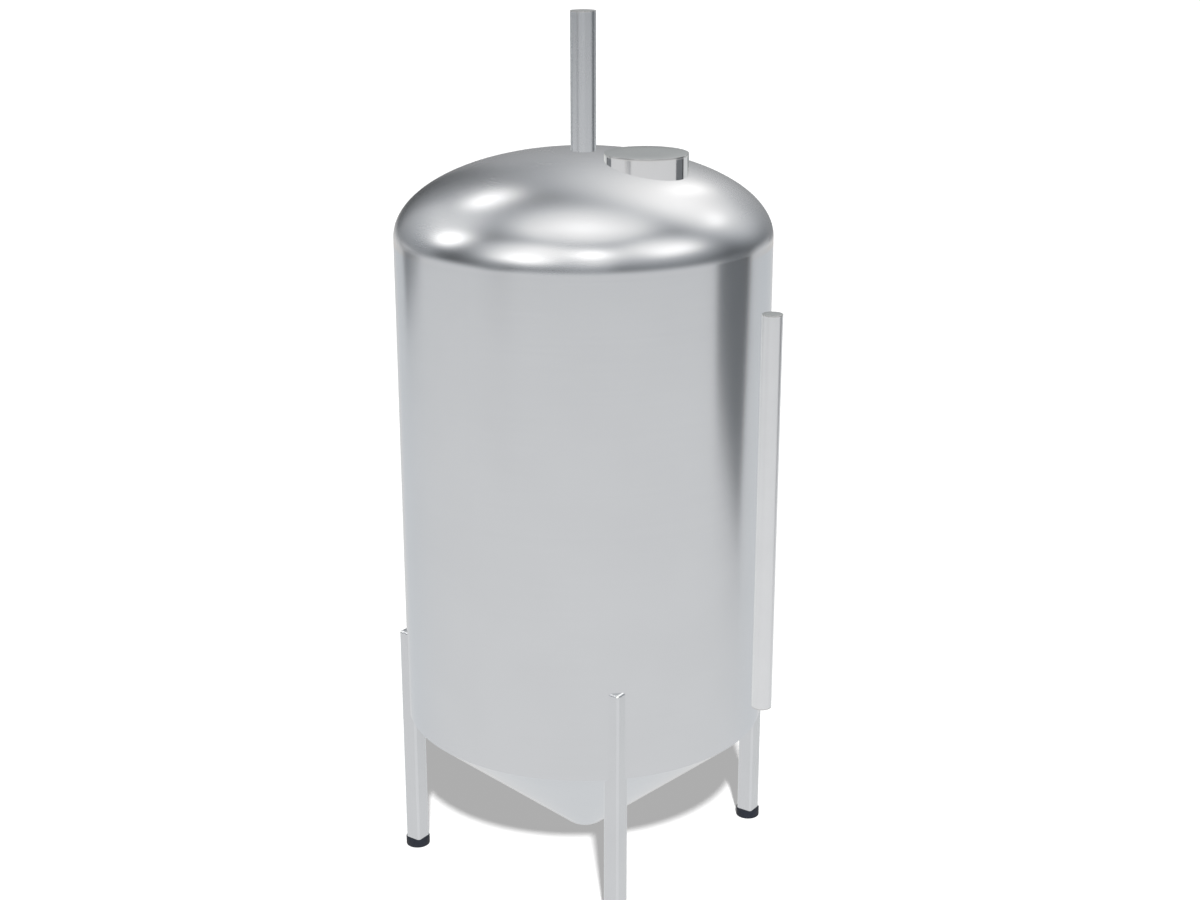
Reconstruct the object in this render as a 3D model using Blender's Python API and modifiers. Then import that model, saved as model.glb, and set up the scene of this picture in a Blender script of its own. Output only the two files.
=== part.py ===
"""Degassing silo: a stainless steel vessel on four square legs.

The vessel is a rolled shell in two courses of four plates, with a dished head on top and a
cone with a rounded tip below. The vent pipe stands on the axis, the manhole beside it, and
a closed tube stands against the shell. Metres, +Z up. The origin is on the floor, on the
vessel's axis. The legs stand on the X and Y axes, each with a corner facing outwards.
"""
from math import acos, cos, pi, radians, sin, sqrt, tan

import bmesh
import bpy
from mathutils import Matrix, Vector

# Vessel
SHELL_RADIUS = 1.050
WALL = 0.004
SHELL_BOTTOM_Z = 0.875
HEAD_TANGENT_Z = 3.700
HEAD_HEIGHT = 0.465
HEAD_STRAIGHT_FLANGE = 0.030
CONE_SLOPE = radians(40.2)
TIP_RADIUS = 0.185
TIP_LIP = 0.020
PLATES_PER_COURSE = 4
COURSES = ("lower", "upper")

# Vent pipe on the axis
VENT_RADIUS = 0.06985
VENT_WALL = 0.003
VENT_TOP_Z = 4.913
VENT_END_PLATE = 0.006
VENT_INSIDE_HEAD = 0.010

# Manhole on the head
MANHOLE_RADIUS = 0.227
MANHOLE_OFFSET = 0.415
MANHOLE_DIRECTION = radians(-45.0)
MANHOLE_TOP_Z = 4.190
MANHOLE_COVER = 0.012
MANHOLE_TRIM = 0.040

# Closed tube standing against the shell
SIDE_TUBE_RADIUS = 0.05715
SIDE_TUBE_WALL = 0.003
SIDE_TUBE_BOTTOM_Z = 1.027
SIDE_TUBE_TOP_Z = 3.350
SIDE_TUBE_END_PLATE = 0.006
SIDE_TUBE_DIRECTION = radians(-32.7)

# Legs of square hollow section, and their feet
LEG_SIDE = 0.100
LEG_WALL = 0.005
LEG_CORNER_RADIUS = 0.015
LEG_OFFSET = 1.025
LEG_DIRECTIONS = {"front": -pi / 2, "right": 0.0, "back": pi / 2, "left": pi}
LEG_TOP_Z = 1.395
LEG_CAP_HEIGHT = 0.020
FOOT_RADIUS = 0.070
FOOT_HEIGHT = 0.050
FOOT_EDGE = 0.003

# Clearance between pieces that touch
GAP = 0.0003

# Facets of the round pieces
VESSEL_FACETS = 96
HEAD_RINGS = 12
TIP_FACETS = 48
TIP_RINGS = 4
MANHOLE_FACETS = 64
PIPE_FACETS = 40
FOOT_FACETS = 32
CORNER_FACETS = 4

HEAD_BOTTOM_Z = HEAD_TANGENT_Z - HEAD_STRAIGHT_FLANGE
CONE_APEX_Z = SHELL_BOTTOM_Z - SHELL_RADIUS * tan(CONE_SLOPE)
TIP_CENTRE_Z = CONE_APEX_Z + TIP_RADIUS / cos(CONE_SLOPE)
SIDE_TUBE_OFFSET = SHELL_RADIUS + GAP + SIDE_TUBE_RADIUS

for leftover in list(bpy.data.objects):
    bpy.data.objects.remove(leftover, do_unlink=True)

silo = bpy.data.collections.new("degassing_silo")
cutters = bpy.data.collections.new("cutters")
bpy.context.scene.collection.children.link(silo)
bpy.context.scene.collection.children.link(cutters)


def steel(name, colour, roughness, metallic=1.0):
    """One finish: a Principled material of one colour."""
    material = bpy.data.materials.new(name)
    material.use_nodes = True
    shader = material.node_tree.nodes["Principled BSDF"]
    shader.inputs["Base Color"].default_value = (*colour, 1.0)
    shader.inputs["Roughness"].default_value = roughness
    shader.inputs["Metallic"].default_value = metallic
    return material


HEAD_STEEL = steel("polished_head", (0.70, 0.71, 0.72), 0.12)
SHELL_STEEL = steel("satin_shell", (0.76, 0.77, 0.78), 0.28)
CONE_STEEL = steel("satin_cone", (0.78, 0.78, 0.79), 0.32)
PIPE_STEEL = steel("drawn_pipe", (0.74, 0.75, 0.76), 0.20)
PLATE_STEEL = steel("cut_plate", (0.62, 0.63, 0.64), 0.30)
LEG_STEEL = steel("ground_leg", (0.78, 0.79, 0.80), 0.30)
FOOT_BLACK = steel("black_foot", (0.03, 0.035, 0.045), 0.55, metallic=0.0)


def add_piece(name, mesh, material, location=(0.0, 0.0, 0.0)):
    """Puts a mesh into the silo as one named piece."""
    mesh.materials.append(material)
    piece = bpy.data.objects.new(name, mesh)
    piece.location = location
    silo.objects.link(piece)
    return piece


def add_cutter(name, mesh):
    """Puts a mesh among the cutters, which only take material away."""
    cutter = bpy.data.objects.new(name, mesh)
    cutter.hide_render = True
    cutter.display_type = "WIRE"
    cutters.objects.link(cutter)
    return cutter


def cut(piece, cutter):
    """Takes the cutter's volume out of a piece."""
    boolean = piece.modifiers.new("cut_" + cutter.name, "BOOLEAN")
    boolean.operation = "DIFFERENCE"
    boolean.solver = "EXACT"
    boolean.object = cutter


def turn(body, facets):
    """Turns a profile once round the Z axis."""
    screw = body.modifiers.new("turn", "SCREW")
    screw.angle = 2.0 * pi
    screw.steps = facets
    screw.render_steps = facets
    screw.use_merge_vertices = True
    screw.merge_threshold = 0.0001


def weld_pole(body):
    """Joins the points that a turned profile leaves on its axis."""
    weld = body.modifiers.new("pole", "WELD")
    weld.merge_threshold = 0.00005


def thicken(body, wall):
    """Gives a turned skin its wall, inwards."""
    solidify = body.modifiers.new("wall", "SOLIDIFY")
    solidify.thickness = wall
    solidify.offset = -1.0
    solidify.use_even_offset = True


def on_circle(offset, direction):
    """A place on the floor, at a distance and a direction from the vessel's axis."""
    return (offset * cos(direction), offset * sin(direction), 0.0)


def profile_mesh(name, points, closed):
    """A line of (radius, height) points in the XZ plane, open or closed."""
    mesh = bpy.data.meshes.new(name)
    bm = bmesh.new()
    corners = [bm.verts.new((radius, 0.0, height)) for radius, height in points]
    ends = corners[1:] + corners[:1] if closed else corners[1:]
    for start, end in zip(corners, ends):
        bm.edges.new((start, end))
    bm.to_mesh(mesh)
    bm.free()
    return mesh


def smooth(mesh, angle=35.0):
    """Shades a mesh smooth, with sharp edges above an angle in degrees."""
    mesh.shade_smooth()
    mesh.set_sharp_from_angle(angle=radians(angle))
    return mesh


def plate_mesh(name, section, start, turn_angle, steps):
    """Carries a flat section round the Z axis, from a start angle, as one rolled plate."""
    bm = bmesh.new()
    corners = [bm.verts.new((radius, 0.0, height)) for radius, height in section]
    face = bm.faces.new(corners)
    bmesh.ops.rotate(bm, verts=bm.verts, cent=(0, 0, 0), matrix=Matrix.Rotation(start, 3, "Z"))
    geometry = bm.verts[:] + bm.edges[:] + [face]
    bmesh.ops.spin(bm, geom=geometry, cent=(0, 0, 0), axis=(0, 0, 1), dvec=(0, 0, 0),
                   angle=turn_angle, steps=steps, use_duplicate=False)
    bmesh.ops.recalc_face_normals(bm, faces=bm.faces)
    mesh = bpy.data.meshes.new(name)
    bm.to_mesh(mesh)
    bm.free()
    return smooth(mesh)


def disc_mesh(name, radius, bottom, top, facets, edge=0.0):
    """A flat round plate between two heights, with its rims broken by a small bevel."""
    bm = bmesh.new()
    bmesh.ops.create_cone(bm, cap_ends=True, segments=facets, radius1=radius, radius2=radius,
                          depth=top - bottom)
    bmesh.ops.translate(bm, verts=bm.verts, vec=(0, 0, (top + bottom) / 2))
    if edge > 0.0:
        rims = [line for line in bm.edges if any(len(face.verts) > 4 for face in line.link_faces)]
        bmesh.ops.bevel(bm, geom=rims, offset=edge, segments=2, profile=0.5, affect="EDGES")
    mesh = bpy.data.meshes.new(name)
    bm.to_mesh(mesh)
    bm.free()
    return smooth(mesh)


def tube_section(outer, wall, bottom, top):
    """The rectangle that turns into a pipe, outer side first, top to bottom."""
    return [(outer, top), (outer, bottom), (outer - wall, bottom), (outer - wall, top)]


def square_bar_mesh(name, side, corner, bottom, top, top_edge=False):
    """A square bar with rounded upright corners, and a rounded top rim where asked."""
    bm = bmesh.new()
    bmesh.ops.create_cube(bm, size=1.0)
    bmesh.ops.scale(bm, verts=bm.verts, vec=(side, side, top - bottom))
    bmesh.ops.translate(bm, verts=bm.verts, vec=(0, 0, (top + bottom) / 2))
    rounded = []
    for line in bm.edges:
        low, high = sorted(vert.co.z for vert in line.verts)
        upright = high - low > 1e-6
        if upright or (top_edge and low > bottom + 1e-6):
            rounded.append(line)
    bmesh.ops.bevel(bm, geom=rounded, offset=corner, segments=CORNER_FACETS, profile=0.5,
                    affect="EDGES")
    mesh = bpy.data.meshes.new(name)
    bm.to_mesh(mesh)
    bm.free()
    return smooth(mesh)


def build_shell():
    """Two courses of rolled plates. Their upright seams lie midway between the legs."""
    course_height = (HEAD_BOTTOM_Z - SHELL_BOTTOM_Z) / len(COURSES)
    seam = GAP / SHELL_RADIUS
    step = 2.0 * pi / PLATES_PER_COURSE
    for level, course in enumerate(COURSES):
        bottom = SHELL_BOTTOM_Z + level * course_height + GAP / 2
        top = SHELL_BOTTOM_Z + (level + 1) * course_height - GAP / 2
        section = tube_section(SHELL_RADIUS, WALL, bottom, top)
        for number in range(PLATES_PER_COURSE):
            name = f"shell_plate_{course}_{number + 1}"
            start = (number - 0.5) * step + seam / 2
            mesh = plate_mesh(name, section, start, step - seam, VESSEL_FACETS // PLATES_PER_COURSE)
            add_piece(name, mesh, SHELL_STEEL)


def head_height_at(radius):
    """Height of the head's outer face above the floor, at a distance from the axis."""
    return HEAD_TANGENT_Z + HEAD_HEIGHT * sqrt(1.0 - (radius / SHELL_RADIUS) ** 2)


def head_profile(half_width, height, first_radius):
    """An ellipse's quarter from near the axis down to the tangent line."""
    first = acos(first_radius / half_width)
    angles = [first * (1.0 - ring / HEAD_RINGS) for ring in range(HEAD_RINGS + 1)]
    return [(half_width * cos(angle), HEAD_TANGENT_Z + height * sin(angle)) for angle in angles]


def build_head():
    """The dished head, one pressing, with its holes for the vent pipe and the manhole."""
    hole = VENT_RADIUS + 2 * GAP
    profile = head_profile(SHELL_RADIUS, HEAD_HEIGHT, hole)
    profile.append((SHELL_RADIUS, HEAD_BOTTOM_Z + GAP / 2))
    head = add_piece("top_head", profile_mesh("top_head", profile, closed=False), HEAD_STEEL)
    turn(head, VESSEL_FACETS)
    thicken(head, WALL)
    opening = disc_mesh("manhole_opening", MANHOLE_RADIUS + GAP, HEAD_TANGENT_Z,
                        MANHOLE_TOP_Z, MANHOLE_FACETS)
    opening_cutter = add_cutter("manhole_opening", opening)
    opening_cutter.location = on_circle(MANHOLE_OFFSET, MANHOLE_DIRECTION)
    cut(head, opening_cutter)


def build_vent():
    """The vent pipe through the head's centre, and its flat end plate."""
    plate_bottom = VENT_TOP_Z - VENT_END_PLATE
    head_inside = HEAD_TANGENT_Z + HEAD_HEIGHT - WALL
    section = tube_section(VENT_RADIUS, VENT_WALL, head_inside - VENT_INSIDE_HEAD,
                           plate_bottom - GAP)
    pipe = add_piece("vent_pipe", profile_mesh("vent_pipe", section, closed=True), PIPE_STEEL)
    turn(pipe, PIPE_FACETS)
    plate = disc_mesh("vent_end_plate", VENT_RADIUS, plate_bottom, VENT_TOP_Z, PIPE_FACETS)
    add_piece("vent_end_plate", plate, PLATE_STEEL)


def build_manhole():
    """The manhole's neck, trimmed flush with the head's inner face, and its flat cover."""
    centre = on_circle(MANHOLE_OFFSET, MANHOLE_DIRECTION)
    cover_bottom = MANHOLE_TOP_Z - MANHOLE_COVER
    lowest = head_height_at(MANHOLE_OFFSET + MANHOLE_RADIUS) - MANHOLE_TRIM
    section = tube_section(MANHOLE_RADIUS, WALL, lowest, cover_bottom - GAP)
    neck_mesh = profile_mesh("manhole_neck", section, closed=True)
    neck = add_piece("manhole_neck", neck_mesh, PIPE_STEEL, centre)
    turn(neck, MANHOLE_FACETS)
    inside = head_profile(SHELL_RADIUS - WALL, HEAD_HEIGHT - WALL, 0.0)
    inside += [(SHELL_RADIUS - WALL, HEAD_BOTTOM_Z), (0.0, HEAD_BOTTOM_Z)]
    head_space = add_cutter("head_space", profile_mesh("head_space", inside, closed=False))
    turn(head_space, VESSEL_FACETS)
    weld_pole(head_space)
    cut(neck, head_space)
    cover = disc_mesh("manhole_cover", MANHOLE_RADIUS, cover_bottom, MANHOLE_TOP_Z, MANHOLE_FACETS)
    add_piece("manhole_cover", cover, PLATE_STEEL, centre)


def build_cone():
    """The cone in four rolled plates, square cut at the tip and level under the shell."""
    uphill = Vector((cos(CONE_SLOPE), sin(CONE_SLOPE)))
    inwards = Vector((-sin(CONE_SLOPE), cos(CONE_SLOPE)))
    top_z = SHELL_BOTTOM_Z - GAP / 2
    tangent = Vector((0.0, TIP_CENTRE_Z)) - TIP_RADIUS * inwards
    outer_low = tangent + uphill * (TIP_LIP + GAP / 2)
    inner_low = outer_low + inwards * WALL
    outer_high = outer_low + uphill * (top_z - outer_low.y) / uphill.y
    inner_high = inner_low + uphill * (top_z - inner_low.y) / uphill.y
    section = [outer_high, outer_low, inner_low, inner_high]
    seam = GAP / SHELL_RADIUS
    step = 2.0 * pi / PLATES_PER_COURSE
    for number in range(PLATES_PER_COURSE):
        name = f"cone_plate_{number + 1}"
        start = (number - 0.5) * step + seam / 2
        mesh = plate_mesh(name, section, start, step - seam, VESSEL_FACETS // PLATES_PER_COURSE)
        add_piece(name, mesh, CONE_STEEL)


def build_cone_tip():
    """The pressed round tip that closes the cone, with a short straight lip."""
    angles = [CONE_SLOPE * (1.0 - ring / TIP_RINGS) for ring in range(TIP_RINGS + 1)]
    profile = [(TIP_RADIUS * sin(angle), TIP_CENTRE_Z - TIP_RADIUS * cos(angle)) for angle in angles]
    lip = TIP_LIP - GAP / 2
    profile.insert(0, (profile[0][0] + lip * cos(CONE_SLOPE), profile[0][1] + lip * sin(CONE_SLOPE)))
    tip = add_piece("cone_tip", profile_mesh("cone_tip", profile, closed=False), CONE_STEEL)
    turn(tip, TIP_FACETS)
    weld_pole(tip)
    thicken(tip, WALL)


def vessel_envelope():
    """The vessel's outside, grown by the clearance, that the legs are coped to."""
    radius = SHELL_RADIUS + GAP
    knee_z = SHELL_BOTTOM_Z + GAP * tan(CONE_SLOPE) - GAP / cos(CONE_SLOPE)
    apex_z = knee_z - radius * tan(CONE_SLOPE)
    top_z = LEG_TOP_Z + LEG_SIDE
    profile = [(0.0, top_z), (radius, top_z), (radius, knee_z), (0.0, apex_z)]
    envelope = add_cutter("vessel_envelope", profile_mesh("vessel_envelope", profile, closed=False))
    turn(envelope, VESSEL_FACETS)
    weld_pole(envelope)
    return envelope


def build_legs():
    """Four square hollow legs coped to the vessel, each with its cap and its round foot."""
    envelope = vessel_envelope()
    cap_bottom = LEG_TOP_Z - LEG_CAP_HEIGHT
    for side, direction in LEG_DIRECTIONS.items():
        place = on_circle(LEG_OFFSET, direction)
        corner_out = direction + pi / 4
        name = "leg_" + side
        tube = square_bar_mesh(name, LEG_SIDE, LEG_CORNER_RADIUS, FOOT_HEIGHT + GAP, cap_bottom - GAP)
        leg = add_piece(name, tube, LEG_STEEL, place)
        leg.rotation_euler.z = corner_out
        hollow = square_bar_mesh(name + "_hollow", LEG_SIDE - 2 * LEG_WALL, LEG_CORNER_RADIUS - LEG_WALL,
                                 0.0, LEG_TOP_Z)
        hollow_cutter = add_cutter(name + "_hollow", hollow)
        hollow_cutter.location = place
        hollow_cutter.rotation_euler.z = corner_out
        cut(leg, hollow_cutter)
        cut(leg, envelope)
        cap_mesh = square_bar_mesh("leg_cap_" + side, LEG_SIDE, LEG_CORNER_RADIUS, cap_bottom,
                                   LEG_TOP_Z, top_edge=True)
        cap = add_piece("leg_cap_" + side, cap_mesh, LEG_STEEL, place)
        cap.rotation_euler.z = corner_out
        cut(cap, envelope)
        foot = disc_mesh("foot_" + side, FOOT_RADIUS, 0.0, FOOT_HEIGHT, FOOT_FACETS, FOOT_EDGE)
        add_piece("foot_" + side, foot, FOOT_BLACK, place)


def build_side_tube():
    """The closed tube against the shell, with a flat plate at each end."""
    place = on_circle(SIDE_TUBE_OFFSET, SIDE_TUBE_DIRECTION)
    low_plate_top = SIDE_TUBE_BOTTOM_Z + SIDE_TUBE_END_PLATE
    high_plate_bottom = SIDE_TUBE_TOP_Z - SIDE_TUBE_END_PLATE
    section = tube_section(SIDE_TUBE_RADIUS, SIDE_TUBE_WALL, low_plate_top + GAP, high_plate_bottom - GAP)
    tube = add_piece("side_tube", profile_mesh("side_tube", section, closed=True), PIPE_STEEL, place)
    tube.rotation_euler.z = SIDE_TUBE_DIRECTION
    turn(tube, PIPE_FACETS)
    ends = {
        "side_tube_bottom_plate": (SIDE_TUBE_BOTTOM_Z, low_plate_top),
        "side_tube_top_plate": (high_plate_bottom, SIDE_TUBE_TOP_Z),
    }
    for name, (bottom, top) in ends.items():
        plate = disc_mesh(name, SIDE_TUBE_RADIUS, bottom, top, PIPE_FACETS)
        end = add_piece(name, plate, PLATE_STEEL, place)
        end.rotation_euler.z = SIDE_TUBE_DIRECTION


build_shell()
build_head()
build_vent()
build_manhole()
build_cone()
build_cone_tip()
build_legs()
build_side_tube()
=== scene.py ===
"""Degassing silo: the looks of a stainless steel vessel on four legs. Metres, +Z up."""

from math import cos, pi, radians, sin, sqrt, tan

import bmesh
import bpy
import numpy as np
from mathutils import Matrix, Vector


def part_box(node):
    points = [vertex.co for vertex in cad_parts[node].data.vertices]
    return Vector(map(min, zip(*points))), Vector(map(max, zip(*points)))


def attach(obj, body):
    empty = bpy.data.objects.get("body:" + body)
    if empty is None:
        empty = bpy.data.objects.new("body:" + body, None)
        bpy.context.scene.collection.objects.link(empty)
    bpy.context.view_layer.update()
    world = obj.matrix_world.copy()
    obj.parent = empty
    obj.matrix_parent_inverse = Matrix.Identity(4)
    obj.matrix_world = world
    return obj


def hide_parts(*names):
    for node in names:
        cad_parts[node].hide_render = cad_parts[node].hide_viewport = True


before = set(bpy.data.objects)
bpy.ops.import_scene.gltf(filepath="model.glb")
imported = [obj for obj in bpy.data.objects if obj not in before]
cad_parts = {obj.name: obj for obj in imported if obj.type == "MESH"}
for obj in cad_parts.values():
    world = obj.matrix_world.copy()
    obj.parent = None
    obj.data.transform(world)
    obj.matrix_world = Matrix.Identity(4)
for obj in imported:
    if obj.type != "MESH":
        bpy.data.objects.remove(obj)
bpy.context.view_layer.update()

# Camera
# A lens of 35 degrees stands 10 m in front of the silo, above its head, and looks 18 degrees
# down, a little to the right.
CAMERA_VIEW = radians(35.0)
CAMERA_REACH = 500.0
CAMERA_PLACE = (-1.704, -10.261, 5.831)
CAMERA_TILT = radians(71.943)
CAMERA_TURN = radians(-9.93)

camera_lens = bpy.data.cameras.new("camera")
camera_lens.angle = CAMERA_VIEW
camera_lens.clip_end = CAMERA_REACH
camera = bpy.data.objects.new("camera", camera_lens)
camera.location = CAMERA_PLACE
camera.rotation_euler = (CAMERA_TILT, 0.0, CAMERA_TURN)
bpy.context.scene.collection.objects.link(camera)
bpy.context.scene.camera = camera
bpy.context.scene.view_settings.view_transform = "Standard"
bpy.context.scene.cycles.use_denoising = True
bpy.context.scene.cycles.caustics_reflective = False
bpy.context.scene.cycles.caustics_refractive = False

# Studio room
# The steel mirrors a white room with one bulb high in its middle, six blocks on its floor and
# twelve soft boxes. The room is a rule of direction only, as if it were far away.
ROOM_TURN = radians(43.8)
ROOM_MIDDLE = (-0.75, -0.70, 13.275)
ROOM_HALF = (15.85, 14.30, 14.125)
ROOM_FLOOR_Z = ROOM_MIDDLE[2] - ROOM_HALF[2]
ROOM_HAZE = 0.05
BULB_PLACE = (0.15, -0.55, 16.1)
BULB_STRENGTH = 1125.0
BULB_REACH = 28.0
# Distances this close are one, and a box is left out where a direction hardly points to it
SAME_DISTANCE = 0.0005
LEAST_TOWARDS = 0.001
# Light up to which the room is neutral, the shift of red and blue at full light, and its limit
SHADE_LIGHT = 0.15
WARM_SHIFT = 0.06
MOST_WARMTH = 1.3
# In the room's own plan: x, y, half width, half depth, top and the turn in degrees
STUDIO_BLOCKS = {
    "tall": (-9.5, -0.15, 2.05, 3.6, 5.5, 11.5),
    "low": (-5.35, 0.72, 0.78, 1.8, -0.52, 64.0),
    "far": (6.95, -8.8, 2.3, 1.8, 3.9, 47.0),
    "slim": (-1.8, -6.4, 0.85, 1.5, 3.05, 3.0),
    "near": (2.16, 2.52, 0.68, 0.84, 0.0, -17.5),
    "broad": (-2.35, 6.15, 2.05, 1.6, 2.35, 13.5)}
# As seen from the silo, in degrees but for the light: azimuth, elevation, half width, half
# height, light, softness
SOFT_BOXES = {
    "left": (-71.0, 31.0, 4.0, 9.0, 5.3, 10.0),
    "back": (-18.0, 44.5, 6.5, 3.0, 4.4, 4.5),
    "front_right": (126.5, 35.0, 14.0, 8.0, 2.0, 7.5),
    "front_left": (-131.5, 25.0, 11.5, 1.5, 5.5, 19.0),
    "right_glow": (65.5, 33.5, 4.5, 17.5, 1.05, 20.0),
    "front_glow": (-177.5, 36.5, 2.5, 14.0, 2.9, 19.0),
    "back_right_glow": (24.0, 30.5, 2.5, 9.5, 1.35, 20.0),
    "right": (63.0, 40.0, 6.5, 2.0, 3.0, 5.5),
    "back_right": (30.0, 33.5, 1.5, 7.0, 3.0, 3.0),
    "front": (-176.5, 42.0, 3.0, 4.0, 5.6, 10.0),
    "ceiling": (0.0, 89.9, 17.0, 17.0, 0.92, 1.0),
    "ceiling_glow": (-166.0, 89.0, 6.5, 1.5, 3.8, 25.0)}


def add_node(tree, kind, **settings):
    """A new node with its settings."""
    node = tree.nodes.new(kind)
    for setting, value in settings.items():
        setattr(node, setting, value)
    return node


def feed(tree, socket, value):
    """Links an output to a socket, or sets the socket's plain value."""
    if isinstance(value, bpy.types.NodeSocket):
        tree.links.new(value, socket)
    else:
        socket.default_value = value


def calc(tree, operation, *values, clamp=False):
    """The result of a Math node."""
    node = add_node(tree, "ShaderNodeMath", operation=operation, use_clamp=clamp)
    for socket, value in zip(node.inputs, values):
        feed(tree, socket, value)
    return node.outputs[0]


def vector_calc(tree, operation, *values):
    """The result of a Vector Math node, a number for a dot product or a length."""
    node = add_node(tree, "ShaderNodeVectorMath", operation=operation)
    for socket, value in zip(node.inputs, values):
        feed(tree, socket, value)
    return node.outputs["Value" if operation in ("DOT_PRODUCT", "LENGTH") else "Vector"]


def parts_of(tree, vector):
    """The three parts of a vector."""
    split = add_node(tree, "ShaderNodeSeparateXYZ")
    feed(tree, split.inputs[0], vector)
    return split.outputs[0], split.outputs[1], split.outputs[2]


def joined(tree, x, y, z):
    """A vector from three numbers."""
    joint = add_node(tree, "ShaderNodeCombineXYZ")
    for socket, value in zip(joint.inputs, (x, y, z)):
        feed(tree, socket, value)
    return joint.outputs[0]


def turned_round(tree, vector, angle):
    """A vector turned about the upright axis."""
    rotation = add_node(tree, "ShaderNodeVectorRotate", rotation_type="Z_AXIS")
    feed(tree, rotation.inputs["Vector"], vector)
    feed(tree, rotation.inputs["Angle"], angle)
    return rotation.outputs["Vector"]


def blend_values(tree, factor, first, second):
    """First where the factor is 0, second where it is 1."""
    node = add_node(tree, "ShaderNodeMix", data_type="FLOAT")
    for socket, value in zip((node.inputs[0], node.inputs[2], node.inputs[3]), (factor, first, second)):
        feed(tree, socket, value)
    return node.outputs[0]


def soft_step(tree, value, edge, softness):
    """1 below the edge and 0 above it, with a smooth ramp twice the softness wide."""
    node = add_node(tree, "ShaderNodeMapRange", interpolation_type="SMOOTHSTEP")
    feed(tree, node.inputs["Value"], value)
    feed(tree, node.inputs["From Min"], calc(tree, "SUBTRACT", edge, softness))
    feed(tree, node.inputs["From Max"], calc(tree, "ADD", edge, softness))
    feed(tree, node.inputs["To Min"], 1.0)
    feed(tree, node.inputs["To Max"], 0.0)
    return node.outputs["Result"]


def new_group(name, inputs, outputs):
    """An empty node group, and its input and output nodes. Each socket is vector or number."""
    tree = bpy.data.node_groups.new(name, "ShaderNodeTree")
    kinds = {"vector": "NodeSocketVector", "number": "NodeSocketFloat"}
    for title, kind in inputs.items():
        tree.interface.new_socket(title, in_out="INPUT", socket_type=kinds[kind])
    for title, kind in outputs.items():
        tree.interface.new_socket(title, in_out="OUTPUT", socket_type=kinds[kind])
    return tree, tree.nodes.new("NodeGroupInput"), tree.nodes.new("NodeGroupOutput")


def use_group(tree, group, **values):
    """A group placed in a tree, its inputs named with underscores for spaces."""
    node = add_node(tree, "ShaderNodeGroup", node_tree=group)
    for title, value in values.items():
        feed(tree, node.inputs[title.replace("_", " ").capitalize()], value)
    return node


def crossings(tree, direction, middle, half):
    """Distances at which a direction crosses a box's near and far faces: the box's middle over
    the direction, less and plus its half size over the direction."""
    centre = vector_calc(tree, "DIVIDE", middle, direction)
    spread = vector_calc(tree, "ABSOLUTE", vector_calc(tree, "DIVIDE", half, direction))
    return vector_calc(tree, "SUBTRACT", centre, spread), vector_calc(tree, "ADD", centre, spread)


def outermost(tree, operation, distances):
    """The largest or smallest of three distances."""
    x, y, z = parts_of(tree, distances)
    return calc(tree, operation, calc(tree, operation, x, y), z)


def face_light(tree, direction, distances, distance, bulb):
    """Light of the white face that is met, with the haze: the bulb's strength over pi, times its
    depth from the face over the cube of its distance, times a fade, which is the square of 1
    less the fourth power of the distance over the reach."""
    across = [calc(tree, "COMPARE", part, distance, SAME_DISTANCE) for part in parts_of(tree, distances)]
    inwards = vector_calc(tree, "MULTIPLY", vector_calc(tree, "SIGN", direction), joined(tree, *across))
    from_bulb = vector_calc(tree, "SUBTRACT", vector_calc(tree, "MULTIPLY", direction, distance), bulb)
    depth = calc(tree, "MAXIMUM", vector_calc(tree, "DOT_PRODUCT", from_bulb, inwards), 0.0)
    reach = vector_calc(tree, "LENGTH", from_bulb)
    fade = calc(tree, "POWER", calc(tree, "DIVIDE", reach, BULB_REACH), 4.0)
    fade = calc(tree, "POWER", calc(tree, "SUBTRACT", 1.0, fade, clamp=True), 2.0)
    light = calc(tree, "DIVIDE", depth, calc(tree, "POWER", reach, 3.0))
    light = calc(tree, "MULTIPLY", calc(tree, "MULTIPLY", light, fade), BULB_STRENGTH / pi)
    return calc(tree, "ADD", light, ROOM_HAZE)


def block_group():
    """A block before what was met so far. A direction enters a box at the last of the near
    faces and leaves it at the first of the far ones, and misses it if it leaves first."""
    inputs = {"Direction": "vector", "Middle": "vector", "Half": "vector", "Bulb": "vector",
              "Distance": "number", "Light": "number"}
    tree, given, result = new_group("studio_block", inputs, {"Distance": "number", "Light": "number"})
    direction = given.outputs["Direction"]
    near, far = crossings(tree, direction, given.outputs["Middle"], given.outputs["Half"])
    enters = outermost(tree, "MAXIMUM", near)
    leaves = outermost(tree, "MINIMUM", far)
    met = calc(tree, "LESS_THAN", enters, calc(tree, "MINIMUM", leaves, given.outputs["Distance"]))
    met = calc(tree, "MULTIPLY", met, calc(tree, "GREATER_THAN", enters, 0.0))
    light = face_light(tree, direction, near, enters, given.outputs["Bulb"])
    for title, value in (("Distance", enters), ("Light", light)):
        feed(tree, result.inputs[title], blend_values(tree, met, given.outputs[title], value))
    return tree


def turned_back(x, y, z, angle):
    """A place as it lies in a plan that is itself turned by an angle."""
    return cos(angle) * x + sin(angle) * y, cos(angle) * y - sin(angle) * x, z


def add_block(tree, group, direction, distance, light, x, y, half_width, half_depth, top, turn):
    """Distance and light with one more block on the room's floor. The block is met in its own
    plan, so direction, middle and bulb are turned back by its turn."""
    angle = radians(turn)
    block = use_group(tree, group, direction=turned_round(tree, direction, -angle),
                      middle=turned_back(x, y, (top + ROOM_FLOOR_Z) / 2, angle),
                      half=(half_width, half_depth, (top - ROOM_FLOOR_Z) / 2),
                      bulb=turned_back(*BULB_PLACE, angle), distance=distance, light=light)
    return block.outputs["Distance"], block.outputs["Light"]


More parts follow.
